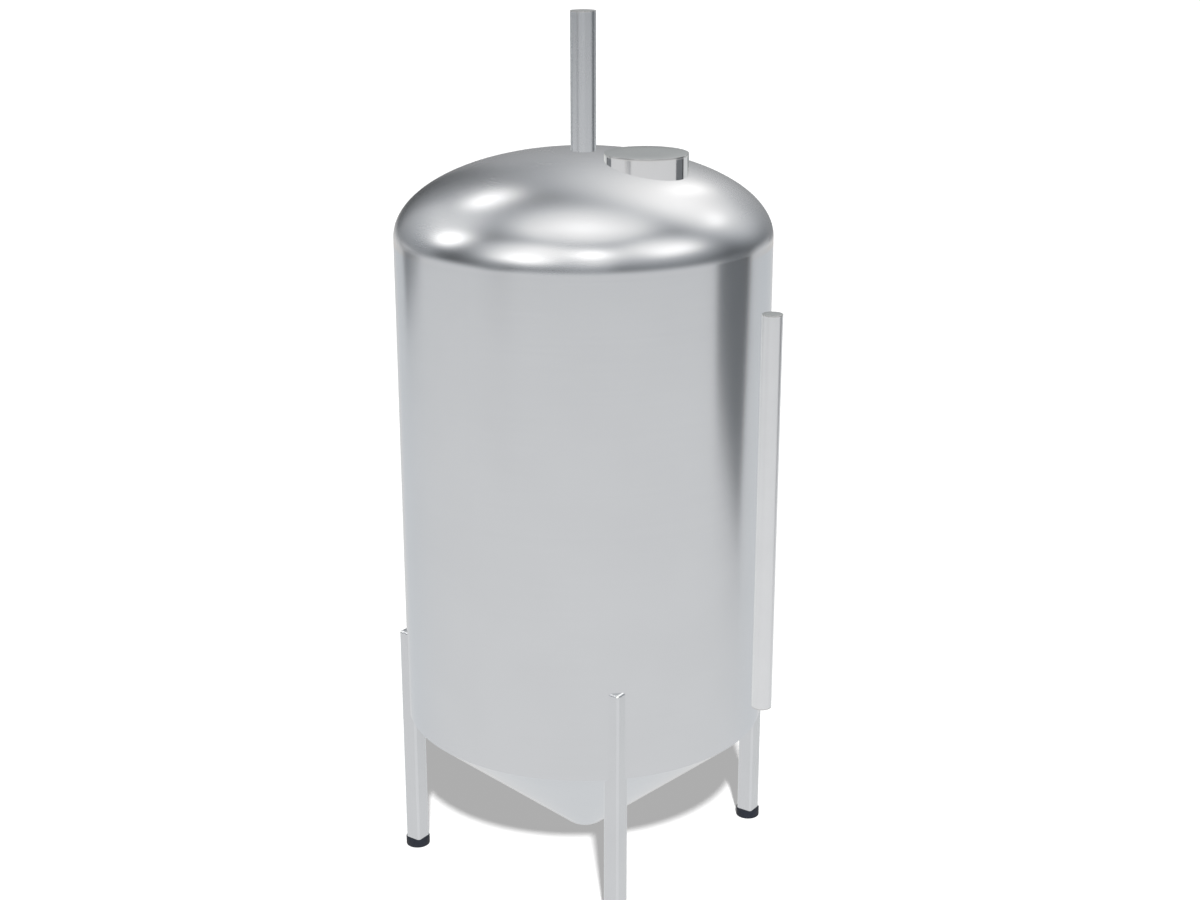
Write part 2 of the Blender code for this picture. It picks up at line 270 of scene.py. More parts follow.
def soft_box_group():
    """Mask of a flat soft box that faces the silo: the direction's sideways and upward parts,
    each divided by its part towards the box, lie within its half width and height."""
    inputs = {"Direction": "vector", "Facing": "vector", "Sideways": "vector", "Upwards": "vector",
              "Half width": "number", "Half height": "number", "Softness": "number"}
    tree, given, result = new_group("studio_soft_box", inputs, {"Mask": "number"})
    towards = vector_calc(tree, "DOT_PRODUCT", given.outputs["Direction"], given.outputs["Facing"])
    mask = calc(tree, "GREATER_THAN", towards, LEAST_TOWARDS)
    for axis, half in (("Sideways", "Half width"), ("Upwards", "Half height")):
        part = vector_calc(tree, "DOT_PRODUCT", given.outputs["Direction"], given.outputs[axis])
        slope = calc(tree, "ABSOLUTE", calc(tree, "DIVIDE", part, towards))
        edge = soft_step(tree, slope, given.outputs[half], given.outputs["Softness"])
        mask = calc(tree, "MULTIPLY", mask, edge)
    feed(tree, result.inputs["Mask"], mask)
    return tree


def facing(azimuth, elevation):
    """Unit direction of an azimuth, which turns from +Y towards +X, and an elevation."""
    return cos(elevation) * sin(azimuth), cos(elevation) * cos(azimuth), sin(elevation)


def add_soft_box(tree, group, look, room, azimuth, elevation, half_width, half_height, light, softness):
    """The room's light with one more soft box. Its sideways and upward directions are a quarter
    turn on from the one it lies in."""
    turn = radians(azimuth)
    rise = radians(elevation)
    mask = use_group(tree, group, direction=look, facing=facing(turn, rise),
                     sideways=facing(turn + pi / 2, 0.0), upwards=facing(turn, rise + pi / 2),
                     half_width=tan(radians(half_width)), half_height=tan(radians(half_height)),
                     softness=tan(radians(softness)))
    return blend_values(tree, mask.outputs["Mask"], room, light)


world = bpy.data.worlds.new("studio_room")
world.use_nodes = True
world_tree = world.node_tree
look = add_node(world_tree, "ShaderNodeTexCoord").outputs["Generated"]
in_room = turned_round(world_tree, look, ROOM_TURN)
walls = crossings(world_tree, in_room, ROOM_MIDDLE, ROOM_HALF)[1]
met_at = outermost(world_tree, "MINIMUM", walls)
room = face_light(world_tree, in_room, walls, met_at, BULB_PLACE)
studio_block = block_group()
for block in STUDIO_BLOCKS.values():
    met_at, room = add_block(world_tree, studio_block, in_room, met_at, room, *block)
studio_soft_box = soft_box_group()
for soft_box in SOFT_BOXES.values():
    room = add_soft_box(world_tree, studio_soft_box, look, room, *soft_box)
# The brighter a place in the room, the warmer its light
warmth = calc(world_tree, "DIVIDE", calc(world_tree, "SUBTRACT", room, SHADE_LIGHT), 1.0 - SHADE_LIGHT)
warmth = calc(world_tree, "MINIMUM", calc(world_tree, "MAXIMUM", warmth, 0.0), MOST_WARMTH)
red = calc(world_tree, "MULTIPLY", room, calc(world_tree, "MULTIPLY_ADD", warmth, WARM_SHIFT, 1.0))
blue = calc(world_tree, "MULTIPLY", room, calc(world_tree, "MULTIPLY_ADD", warmth, -WARM_SHIFT, 1.0))
# The camera itself sees plain white
seen = add_node(world_tree, "ShaderNodeLightPath").outputs["Is Camera Ray"]
sky = joined(world_tree, *[blend_values(world_tree, seen, light, 1.0) for light in (red, room, blue)])
feed(world_tree, world_tree.nodes["Background"].inputs["Color"], sky)
world.cycles_visibility.diffuse = False
bpy.context.scene.world = world

# Floor and key light
# A plain white floor, bright enough by itself to keep the shadow light grey. The key light
# stands in front, half way up, and its size of 3 degrees softens the shadow's edge.
FLOOR_HALF = 150.0
FLOOR_WHITE = (0.8, 0.8, 0.8, 1.0)
FLOOR_GLOW = 0.42
KEY_STRENGTH = 4.2
KEY_SIZE = radians(3.0)
KEY_AZIMUTH = radians(-174.3)
KEY_ELEVATION = radians(42.5)


def floor_paint():
    """White paint that glows a little and takes the key light."""
    material = bpy.data.materials.new("floor_white")
    material.use_nodes = True
    tree = material.node_tree
    tree.nodes.remove(tree.nodes["Principled BSDF"])
    paint = add_node(tree, "ShaderNodeBsdfDiffuse")
    paint.inputs["Color"].default_value = FLOOR_WHITE
    glow = add_node(tree, "ShaderNodeEmission")
    glow.inputs["Strength"].default_value = FLOOR_GLOW
    both = add_node(tree, "ShaderNodeAddShader")
    tree.links.new(paint.outputs[0], both.inputs[0])
    tree.links.new(glow.outputs[0], both.inputs[1])
    tree.links.new(both.outputs[0], tree.nodes["Material Output"].inputs["Surface"])
    return material


floor_mesh = bpy.data.meshes.new("floor")
floor_corners = [(-FLOOR_HALF, -FLOOR_HALF, 0.0), (FLOOR_HALF, -FLOOR_HALF, 0.0),
                 (FLOOR_HALF, FLOOR_HALF, 0.0), (-FLOOR_HALF, FLOOR_HALF, 0.0)]
floor_mesh.from_pydata(floor_corners, [], [(0, 1, 2, 3)])
floor_mesh.materials.append(floor_paint())
floor = bpy.data.objects.new("floor", floor_mesh)
floor.visible_glossy = False
bpy.context.scene.collection.objects.link(floor)

key = bpy.data.lights.new("key_light", "SUN")
key.energy = KEY_STRENGTH
key.angle = KEY_SIZE
key_light = bpy.data.objects.new("key_light", key)
key_light.visible_glossy = False
key_from = Vector(facing(KEY_AZIMUTH, KEY_ELEVATION))
key_light.rotation_euler = (-key_from).to_track_quat("-Z", "Y").to_euler()
bpy.context.scene.collection.objects.link(key_light)

# Shell
# Eight rolled plates of 4 mm stainless sheet, welded into one tube. The seams are ground
# flush and the whole is rubbed round and round to an even satin.
SHELL_RADIUS = 1.050
SHELL_WALL = 0.004
SHELL_BOTTOM_Z = 0.875
SHELL_TOP_Z = 3.670
SHELL_STEPS = 24
COURSE_SEAM_Z = (SHELL_BOTTOM_Z + SHELL_TOP_Z) / 2
CONE_DEGREES = 40.2
CONE_SLOPE = radians(CONE_DEGREES)
# Where an arc in the half section meets the cone's slope, in degrees from level
SLOPE_NORMAL = CONE_DEGREES - 90.0
KNEE_RADIUS = 0.002
KNEE_STEPS = 8
ROUND_STEPS = 288
# Points this close become one, and faces that meet at more than this angle keep a sharp edge
SAME_POINT = 0.000002
SHARP_FROM = radians(32.0)
STEEL_TONE = (0.569, 0.612, 0.667)
SATIN_ROUGHNESS = 0.19
# The share of light that is left when satin is seen along its face, and how much more of the
# red and less of the blue is lost there
SATIN_EDGE = 0.85
EDGE_COOLING = 0.04
SEAM_HALF_WIDTH = 0.014
# Noise of the rubbing: marks to the metre, how much they are drawn out, and their depth
SATIN_LINES = 120.0
SATIN_CLOUDS = 2.2
LINE_STRETCH = 0.012
LINE_DEPTH = 0.000001
# How lines, clouds and seams add up, and what tone and roughness make of the sum
LINES_SHARE = 0.4
CLOUDS_SHARE = 0.6
SEAM_SHARE = -0.08
TONE_BASE = 0.965
TONE_STRAY = 0.07
ROUGH_BASE = 1.15
ROUGH_STRAY = -0.30


def arc(centre_radius, centre_height, radius, start, end, steps):
    """Points on a circle's arc, from a start to an end angle in degrees: centre plus radius
    times cosine and sine."""
    angles = np.radians(np.linspace(start, end, steps + 1))
    return [centre_radius, centre_height] + radius * np.stack([np.cos(angles), np.sin(angles)], 1)


def between(start, end, steps):
    """Evenly spaced steps from a start to an end, which are points or whole rows of them:
    the two blended by a share that runs from 0 to 1."""
    start = np.asarray(start, float)
    share = np.linspace(0.0, 1.0, steps + 1).reshape((-1,) + (1,) * start.ndim)
    return (1.0 - share) * start + share * np.asarray(end, float)


def unit_ring():
    """Points evenly spaced round a circle of radius 1: cosine and sine of the turn."""
    turn = np.arange(ROUND_STEPS) * (2.0 * pi / ROUND_STEPS)
    return np.stack([np.cos(turn), np.sin(turn)], -1)


def raised(plan, height):
    """Points of a plan with their heights."""
    return np.concatenate([plan, np.broadcast_to(height, plan.shape[:-1])[..., None]], -1)


def patch(points, close_rows=False, close_columns=False):
    """A grid of points with the four-sided faces between neighbours, closed into a ring where
    asked."""
    index = np.arange(points.shape[0] * points.shape[1]).reshape(points.shape[:2])
    if close_rows:
        index = np.concatenate([index, index[:1]], 0)
    if close_columns:
        index = np.concatenate([index, index[:, :1]], 1)
    faces = np.stack([index[:-1, :-1], index[:-1, 1:], index[1:, 1:], index[1:, :-1]], -1)
    return points, faces.reshape(-1, 4)


def turned(profile, closed, centre=(0.0, 0.0)):
    """A profile of (radius, height) carried round an upright axis: x and y are the centre plus
    radius times cosine and sine of the turn, z is the height."""
    plan = np.asarray(centre) + profile[:, 0, None, None] * unit_ring()
    return patch(raised(plan, profile[:, 1, None]), close_rows=closed, close_columns=True)


def add_piece(name, patches, material, outward=False):
    """One object from patches of points and faces. Points that coincide become one, so seams
    and poles are closed; outward turns all faces of a closed body outwards. The steel mirrors
    the room alone, so a piece isn't seen in its neighbours."""
    points = np.concatenate([grid.reshape(-1, 3) for grid, _ in patches])
    starts = np.cumsum([0] + [grid.size // 3 for grid, _ in patches[:-1]])
    faces = np.concatenate([quads + start for (_, quads), start in zip(patches, starts)])
    mesh = bpy.data.meshes.new(name)
    mesh.from_pydata(points.tolist(), [], faces.tolist())
    shape = bmesh.new()
    shape.from_mesh(mesh)
    bmesh.ops.remove_doubles(shape, verts=shape.verts, dist=SAME_POINT)
    if outward:
        bmesh.ops.recalc_face_normals(shape, faces=shape.faces)
    shape.to_mesh(mesh)
    shape.free()
    mesh.shade_smooth()
    mesh.set_sharp_from_angle(angle=SHARP_FROM)
    mesh.materials.append(material)
    piece = bpy.data.objects.new(name, mesh)
    piece.visible_glossy = False
    bpy.context.scene.collection.objects.link(piece)
    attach(piece, "root")
    return piece


def noise(tree, place, marks_per_metre, **looks):
    """The value of a Noise node."""
    node = add_node(tree, "ShaderNodeTexNoise")
    feed(tree, node.inputs["Vector"], place)
    feed(tree, node.inputs["Scale"], marks_per_metre)
    for title, value in looks.items():
        feed(tree, node.inputs[title], value)
    return node.outputs["Fac"]


def rubbing_group():
    """Marks that rubbing leaves in steel: fine lines as noise on stretched coordinates, and
    slow clouds where the hand pressed more or less."""
    inputs = {"Stretched": "vector", "Place": "vector", "Lines per metre": "number",
              "Clouds per metre": "number"}
    tree, given, result = new_group("steel_rubbing", inputs, {"Lines": "number", "Clouds": "number"})
    lines = noise(tree, given.outputs["Stretched"], given.outputs["Lines per metre"],
                  Detail=4.0, Roughness=0.65)
    clouds = noise(tree, given.outputs["Place"], given.outputs["Clouds per metre"],
                   Detail=3.0, Roughness=0.5)
    feed(tree, result.inputs["Lines"], lines)
    feed(tree, result.inputs["Clouds"], clouds)
    return tree


def seam_group():
    """Mask of a seam that was ground flush: the square of 1 less the square of the distance
    over the half width."""
    tree, given, result = new_group("ground_seam", {"Distance": "number", "Half width": "number"},
                                    {"Mask": "number"})
    distance = calc(tree, "ABSOLUTE", given.outputs["Distance"])
    share = calc(tree, "DIVIDE", distance, given.outputs["Half width"])
    bell = calc(tree, "SUBTRACT", 1.0, calc(tree, "MULTIPLY", share, share), clamp=True)
    feed(tree, result.inputs["Mask"], calc(tree, "MULTIPLY", bell, bell))
    return tree


STEEL_RUBBING = rubbing_group()
GROUND_SEAM = seam_group()


def new_steel(name):
    """An empty steel material and its node tree, with the Object coordinates and their parts."""
    material = bpy.data.materials.new(name)
    material.use_nodes = True
    tree = material.node_tree
    place = add_node(tree, "ShaderNodeTexCoord").outputs["Object"]
    return material, tree, place, *parts_of(tree, place)


def lines_round(tree, x, y, along, stretch=LINE_STRETCH):
    """Coordinates for lines that run round the vessel: x and y are shortened, so a pattern is
    long in plan and fine along the section."""
    return joined(tree, calc(tree, "MULTIPLY", x, stretch), calc(tree, "MULTIPLY", y, stretch), along)


def level_seam(tree, z, height):
    """Mask of a seam that runs round the vessel at a height."""
    seam = use_group(tree, GROUND_SEAM, distance=calc(tree, "SUBTRACT", z, height),
                     half_width=SEAM_HALF_WIDTH)
    return seam.outputs["Mask"]


def upright_seams(tree, x, y):
    """Mask of the seams between the four plates, on the diagonals, where |x| equals |y|."""
    diagonal = calc(tree, "SUBTRACT", calc(tree, "ABSOLUTE", x), calc(tree, "ABSOLUTE", y))
    seam = use_group(tree, GROUND_SEAM, distance=calc(tree, "MULTIPLY", diagonal, sqrt(0.5)),
                     half_width=SEAM_HALF_WIDTH)
    return seam.outputs["Mask"]


def steel_finish(tree, place, stretched, tone, roughness, lines, clouds, line_depth=LINE_DEPTH,
                 seams=None, edge=1.0, marks_height=0.0):
    """Sets the shader of one steel: its tone and roughness stray a little with the rubbing's
    lines and clouds and with the ground seams, and the lines are a faint relief on top of any
    deeper marks, in metres. Seen along its face the steel is darker by the edge's share."""
    shader = tree.nodes["Principled BSDF"]
    shader.inputs["Metallic"].default_value = 1.0
    if isinstance(edge, float):
        edge = (edge - EDGE_COOLING, edge, min(edge + EDGE_COOLING, 1.0), 1.0)
    feed(tree, shader.inputs["Specular Tint"], edge)
    marks = use_group(tree, STEEL_RUBBING, stretched=stretched, place=place, lines_per_metre=lines,
                      clouds_per_metre=clouds)
    even = calc(tree, "MULTIPLY_ADD", marks.outputs["Lines"], LINES_SHARE,
                calc(tree, "MULTIPLY", marks.outputs["Clouds"], CLOUDS_SHARE))
    if seams is not None:
        even = calc(tree, "MULTIPLY_ADD", seams, SEAM_SHARE, even)
    strength = calc(tree, "MULTIPLY_ADD", even, TONE_STRAY, TONE_BASE)
    feed(tree, shader.inputs["Base Color"], vector_calc(tree, "MULTIPLY", tone, strength))
    rough = calc(tree, "MULTIPLY", calc(tree, "MULTIPLY_ADD", even, ROUGH_STRAY, ROUGH_BASE), roughness)
    feed(tree, shader.inputs["Roughness"], rough)
    relief = add_node(tree, "ShaderNodeBump")
    relief.inputs["Strength"].default_value = 1.0
    relief.inputs["Distance"].default_value = 1.0
    height = calc(tree, "MULTIPLY_ADD", marks.outputs["Lines"], line_depth, marks_height)
    feed(tree, relief.inputs["Height"], height)
    feed(tree, shader.inputs["Normal"], relief.outputs["Normal"])


def satin_steel(name, tone, roughness, edge, seam_heights=()):
    """Satin sheet in four plates with lines round the vessel, and level seams at some heights."""
    material, tree, place, x, y, z = new_steel(name)
    seams = upright_seams(tree, x, y)
    for height in seam_heights:
        seams = calc(tree, "MAXIMUM", seams, level_seam(tree, z, height))
    steel_finish(tree, place, lines_round(tree, x, y, z), tone, roughness, SATIN_LINES, SATIN_CLOUDS,
                 seams=seams, edge=edge)
    return material


knee_setback = KNEE_RADIUS * tan((pi / 2 - CONE_SLOPE) / 2)
knee = arc(SHELL_RADIUS - KNEE_RADIUS, SHELL_BOTTOM_Z + knee_setback, KNEE_RADIUS, SLOPE_NORMAL, 0.0,
           KNEE_STEPS)
inside_bottom = (SHELL_RADIUS - SHELL_WALL, SHELL_BOTTOM_Z)
inside_top = (SHELL_RADIUS - SHELL_WALL, SHELL_TOP_Z)
shell_profile = np.concatenate([[inside_bottom], knee,
                                between(knee[-1], (SHELL_RADIUS, SHELL_TOP_Z), SHELL_STEPS)[1:],
                                between(inside_top, inside_bottom, SHELL_STEPS)[:-1]])
shell_satin = satin_steel("shell_satin", STEEL_TONE, SATIN_ROUGHNESS, SATIN_EDGE,
                          (COURSE_SEAM_Z, SHELL_TOP_Z))
shell = add_piece("vessel_shell", [turned(shell_profile, closed=True)], shell_satin)
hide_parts(*[f"shell_plate_{course}_{number}" for course in ("lower", "upper")
                     for number in (1, 2, 3, 4)])

# Dished head
# One pressing of 4 mm sheet with a short straight flange, polished almost to a mirror. It has
# a round hole where the manhole's neck stands.
HEAD_TANGENT_Z = 3.700
HEAD_HEIGHT = 0.465
HEAD_WALL = 0.004
HEAD_STEPS = 95
FLANGE_STEPS = 3
HEAD_TONE = (0.590, 0.636, 0.694)
HEAD_ROUGHNESS = 0.266
HEAD_LINE_DEPTH = 0.0000002
MANHOLE_RADIUS = 0.227
MANHOLE_OFFSET = 0.415
MANHOLE_TURN = radians(-45.0)
MANHOLE_CENTRE = (MANHOLE_OFFSET * cos(MANHOLE_TURN), MANHOLE_OFFSET * sin(MANHOLE_TURN))


def head_height(plan, wall=0.0):
    """Height of the head's outer or inner face over points of the plan: half an ellipse over
    the shell's radius, both half widths less the wall."""
    share = np.clip(np.hypot(plan[..., 0], plan[..., 1]) / (SHELL_RADIUS - wall), 0.0, 1.0)
    return HEAD_TANGENT_Z + (HEAD_HEIGHT - wall) * np.sqrt(1.0 - share ** 2)


def head_skin(wall):
    """One face between the manhole's circle and the rim: straight spokes in plan join the two
    circles at equal angles, with the rows closer together near the rim, then the flange."""
    hole = MANHOLE_CENTRE + MANHOLE_RADIUS * unit_ring()
    rim = (SHELL_RADIUS - wall) * unit_ring()
    share = 1.0 - np.linspace(1.0, 0.0, HEAD_STEPS + 1)[:, None, None] ** 2
    plan = (1.0 - share) * hole + share * rim
    flange = between(raised(rim, HEAD_TANGENT_Z), raised(rim, SHELL_TOP_Z), FLANGE_STEPS)
    return np.concatenate([raised(plan, head_height(plan, wall)), flange[1:]])


def head_patches():
    """The head's closed body: outer and inner face, and the edges at the manhole and the shell."""
    outer = head_skin(0.0)
    inner = head_skin(HEAD_WALL)
    skins = [outer[::-1], inner, np.stack([inner[-1], outer[-1]]), np.stack([outer[0], inner[0]])]
    return [patch(skin, close_columns=True) for skin in skins]


def polished_head_steel():
    """Polished sheet: faint lines run round the axis, so the pattern is fine along the radius.
    The flange below is rubbed satin together with the shell."""
    material, tree, place, x, y, z = new_steel("head_polish")
    radius = vector_calc(tree, "LENGTH", joined(tree, x, y, 0.0))
    domed = calc(tree, "GREATER_THAN", z, HEAD_TANGENT_Z)
    tone = joined(tree, *[blend_values(tree, domed, satin, polished)
                          for satin, polished in zip(STEEL_TONE, HEAD_TONE)])
    steel_finish(tree, place, lines_round(tree, x, y, calc(tree, "SUBTRACT", radius, z)), tone,
                 blend_values(tree, domed, SATIN_ROUGHNESS, HEAD_ROUGHNESS), SATIN_LINES, SATIN_CLOUDS,
                 line_depth=HEAD_LINE_DEPTH, seams=level_seam(tree, z, SHELL_TOP_Z),
                 edge=blend_values(tree, domed, SATIN_EDGE, 1.0))
    return material


head = add_piece("vessel_head", head_patches(), polished_head_steel())
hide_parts("top_head")

# Vent pipe
# A drawn stainless pipe of 139.7 mm, welded upright on the head's centre and closed by a flat
# plate, whose weld is ground round.
VENT_RADIUS = 0.06985
VENT_WALL = 0.003
VENT_FOOT_Z = 4.151
VENT_TONE = (0.622, 0.670, 0.731)
VENT_ROUGHNESS = 0.27
PIPE_STEPS = 12
DRAWN_LINES = 350.0
DRAWN_CLOUDS = 6.0
DRAWN_LINE_DEPTH = 0.0000003
PLATE_EDGE = 0.0006
PLATE_EDGE_STEPS = 5
PLATE_TONE = (0.607, 0.637, 0.671)
PLATE_ROUGHNESS = 0.25
PLATE_LINES = 300.0
PLATE_CLOUDS = 8.0
PLATE_STRETCH = 0.02


def add_pipe(name, radius, wall, bottom, top, material, centre=(0.0, 0.0)):
    """An upright pipe: its wall as a closed ring, up the outer side and down the inner one."""
    profile = np.concatenate([between((radius, bottom), (radius, top), PIPE_STEPS),
                              between((radius - wall, top), (radius - wall, bottom), PIPE_STEPS)])
    return add_piece(name, [turned(profile, closed=True, centre=centre)], material)


def add_plate(name, radius, bottom, top, edge, material, centre=(0.0, 0.0)):
    """A flat round plate: its half section from the lower to the upper centre, with both rims
    rounded."""
    profile = np.concatenate([[(0.0, bottom), (0.5 * radius, bottom)],
                              arc(radius - edge, bottom + edge, edge, -90.0, 0.0, PLATE_EDGE_STEPS),
                              arc(radius - edge, top - edge, edge, 0.0, 90.0, PLATE_EDGE_STEPS),
                              [(0.5 * radius, top), (0.0, top)]])
    return add_piece(name, [turned(profile, closed=False, centre=centre)], material)


def lines_upright(tree, x, y, z, stretch=LINE_STRETCH):
    """Coordinates for upright lines: z is shortened, so a pattern is fine in plan and long
    upwards."""
    return joined(tree, x, y, calc(tree, "MULTIPLY", z, stretch))


def drawn_pipe_steel(name, tone, roughness):
    """Drawn pipe, whose lines run along it."""
    material, tree, place, x, y, z = new_steel(name)
    steel_finish(tree, place, lines_upright(tree, x, y, z), tone, roughness, DRAWN_LINES, DRAWN_CLOUDS,
                 line_depth=DRAWN_LINE_DEPTH)
    return material


def ground_plate_steel(name, tone, roughness):
    """Ground plate: x is shortened, so the lines run across it in one direction."""
    material, tree, place, x, y, z = new_steel(name)
    level_lines = joined(tree, calc(tree, "MULTIPLY", x, PLATE_STRETCH), y, z)
    steel_finish(tree, place, level_lines, tone, roughness, PLATE_LINES, PLATE_CLOUDS)
    return material


vent_low, vent_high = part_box("vent_end_plate")
vent_polish = drawn_pipe_steel("vent_polish", VENT_TONE, VENT_ROUGHNESS)
vent = add_pipe("vent_tube", VENT_RADIUS, VENT_WALL, VENT_FOOT_Z, vent_low.z, vent_polish)
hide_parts("vent_pipe")
plate_grind = ground_plate_steel("plate_grind", PLATE_TONE, PLATE_ROUGHNESS)
vent_plate = add_plate("vent_lid", VENT_RADIUS, vent_low.z, vent_high.z, PLATE_EDGE, plate_grind)
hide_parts("vent_end_plate")

# Manhole
# A short neck of rolled sheet stands on the head and is cut to its curve. A flat ground cover
# lies flush on it, with a fine joint between them.
COVER_EDGE = 0.001
NECK_STEPS = 11
NECK_TONE = (0.673, 0.709, 0.757)
NECK_ROUGHNESS = 0.11


def manhole_neck_skin(top):
    """The neck's wall round its own axis: up the outer side from the head's curve to the cover
    and down the inner side. Its foot lies one wall below the head's outer face."""
    sides = []
    for radius in (MANHOLE_RADIUS, MANHOLE_RADIUS - HEAD_WALL):
        plan = MANHOLE_CENTRE + radius * unit_ring()
        foot = raised(plan, head_height(plan) - HEAD_WALL)
        sides.append(between(foot, raised(plan, top), NECK_STEPS))
    outer, inner = sides
    return patch(np.concatenate([outer, inner[::-1]]), close_rows=True, close_columns=True)


cover_low, cover_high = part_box("manhole_cover")
neck_polish = drawn_pipe_steel("neck_polish", NECK_TONE, NECK_ROUGHNESS)
neck = add_piece("manhole_collar", [manhole_neck_skin(cover_low.z)], neck_polish)
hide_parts("manhole_neck")
cover = add_plate("manhole_lid", MANHOLE_RADIUS, cover_low.z, cover_high.z, COVER_EDGE, plate_grind,
                  centre=MANHOLE_CENTRE)
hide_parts("manhole_cover")

# Cone
# Four rolled plates and a pressed round tip, welded, ground flush and rubbed satin like the
# shell. The cone hangs from the shell's lower edge.
TIP_RADIUS = 0.185
TIP_CENTRE_Z = SHELL_BOTTOM_Z - SHELL_RADIUS * tan(CONE_SLOPE) + TIP_RADIUS / cos(CONE_SLOPE)
TIP_STEPS = 12
CONE_STEPS = 40
CONE_TONE = (0.551, 0.593, 0.646)
CONE_ROUGHNESS = 0.22
CONE_EDGE = 0.9


def cone_side(wall):
    """Half section from the pole round the tip and up the slope, moved inwards by a wall."""
    tip = arc(0.0, TIP_CENTRE_Z, TIP_RADIUS - wall, -90.0, SLOPE_NORMAL, TIP_STEPS)
    end = (knee[0][0] - wall * sin(CONE_SLOPE), knee[0][1] + wall * cos(CONE_SLOPE))
    return np.concatenate([tip, between(tip[-1], end, CONE_STEPS)[1:]])


cone_profile = np.concatenate([cone_side(0.0), cone_side(SHELL_WALL)[::-1]])
cone_satin = satin_steel("cone_satin", CONE_TONE, CONE_ROUGHNESS, CONE_EDGE)
cone = add_piece("vessel_cone", [turned(cone_profile, closed=False)], cone_satin)
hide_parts("cone_tip", *[f"cone_plate_{number}" for number in (1, 2, 3, 4)])

# Side tube
# A closed stainless pipe of 114.3 mm that stands against the shell along its whole length,
# with a flat ground plate at each end.
TUBE_RADIUS = 0.05715
TUBE_WALL = 0.003
TUBE_TONE = (0.689, 0.736, 0.793)
TUBE_ROUGHNESS = 0.305
TUBE_END_TONE = (0.532, 0.560, 0.591)
TUBE_END_ROUGHNESS = 0.28

tube_low, tube_low_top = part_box("side_tube_bottom_plate")
tube_high_bottom, tube_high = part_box("side_tube_top_plate")
tube_centre = ((tube_low.x + tube_low_top.x) / 2, (tube_low.y + tube_low_top.y) / 2)
tube_polish = drawn_pipe_steel("tube_polish", TUBE_TONE, TUBE_ROUGHNESS)
tube = add_pipe("standing_tube", TUBE_RADIUS, TUBE_WALL, tube_low_top.z, tube_high_bottom.z, tube_polish,
                centre=tube_centre)
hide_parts("side_tube")
tube_grind = ground_plate_steel("tube_end_grind", TUBE_END_TONE, TUBE_END_ROUGHNESS)
tube_foot = add_plate("standing_tube_foot", TUBE_RADIUS, tube_low.z, tube_low_top.z, PLATE_EDGE,
                      tube_grind, centre=tube_centre)
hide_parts("side_tube_bottom_plate")
tube_lid = add_plate("standing_tube_lid", TUBE_RADIUS, tube_high_bottom.z, tube_high.z, PLATE_EDGE,
                     tube_grind, centre=tube_centre)
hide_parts("side_tube_top_plate")

# Legs
# Square hollow section of 100 mm with 15 mm corners, one corner facing outwards. Each leg is
# coped to the cone and the shell, and its ground cap has a rounded rim.
LEG_HALF = 0.050
LEG_CORNER = 0.015
LEG_OFFSET = 1.025
LEG_FOOT_Z = 0.050
LEG_TOP_Z = 1.395
LEG_CAP_Z = 1.375
OUTER_FLAT_STEPS = 12
OUTER_CORNER_STEPS = 16
INNER_FLAT_STEPS = 4
INNER_CORNER_STEPS = 8
WALL_STEPS = 12
FILL_STEPS = 6
CAP_ROUND_STEPS = 10
LEG_TURNS = {"front": -pi / 2, "right": 0.0, "back": pi / 2, "left": pi}
LEG_ROUGHNESS = 0.26
LEG_LINE_DEPTH = 0.0000006
# The bands that were ground by hand: half width, softness, relief, and the gain in tone that paints a
# highlight on them
CORNER_BAND = 0.008
CORNER_SOFTNESS = 0.002
CORNER_MARK_DEPTH = 0.00008
CORNER_HIGHLIGHT_GAIN = 0.07
RIM_BAND = 0.0065
RIM_SOFTNESS = 0.0005
RIM_MARK_DEPTH = 0.0006
RIM_HIGHLIGHT_GAIN = 0.50
MARKS_PER_METRE = 500.0
MARK_STRETCH = 0.05


def leg_corner(direction, inset, steps):
    """A rounded corner of the square in the leg's own plan: the corner's centre plus the
    corner's radius, less the inset, times cosine and sine."""
    outwards = np.array([cos(radians(direction)), sin(radians(direction))])
    centre = sqrt(2.0) * (LEG_HALF - LEG_CORNER) * outwards
    return arc(*centre, LEG_CORNER - inset, direction - 45.0, direction + 45.0, steps)


def leg_crossing(inset):
    """Where the outer flats meet the shell: the root of a quadratic for the place along the flat."""
    half = LEG_HALF - inset
    lead = LEG_OFFSET * sqrt(0.5)
    rest = LEG_OFFSET ** 2 + 2.0 * lead * half + half ** 2 - SHELL_RADIUS ** 2
    along = -lead + sqrt(lead ** 2 - rest)
    return np.array([sqrt(0.5) * (half + along), sqrt(0.5) * (along - half)])


def outer_outline(inset):
    """The outline outside the shell, from the right crossing over the outer corner to the left."""
    corner = leg_corner(0.0, inset, OUTER_CORNER_STEPS)
    right = between(leg_crossing(inset), corner[0], OUTER_FLAT_STEPS)
    left = right[::-1] * [1.0, -1.0]
    return np.concatenate([right[:-1], corner, left[1:]])


def inner_outline():
    """The rest of the outline, from the left crossing round the three inner corners. It has as
    many points as the outer outline, so that both meet the shell's arc point by point."""
    corners = [leg_corner(direction, 0.0, INNER_CORNER_STEPS) for direction in (90.0, 180.0, 270.0)]
    crossing = leg_crossing(0.0)
    course = [between(crossing * [1.0, -1.0], corners[0][0], INNER_FLAT_STEPS)[:-1]]
    for corner, end in zip(corners, (corners[1][0], corners[2][0], crossing)):
        course.append(corner)
        course.append(between(corner[-1], end, INNER_FLAT_STEPS)[1:-1])
    return np.concatenate(course + [crossing[None]])


def shell_arc(outline):
    """The shell's circle between an outline's two ends, point by point, evenly spaced in angle."""
    first, last = np.arctan2(outline[[0, -1], 1], LEG_OFFSET + outline[[0, -1], 0])
    angles = np.linspace(first, last, len(outline))
    return SHELL_RADIUS * np.stack([np.cos(angles), np.sin(angles)], 1) - [LEG_OFFSET, 0.0]


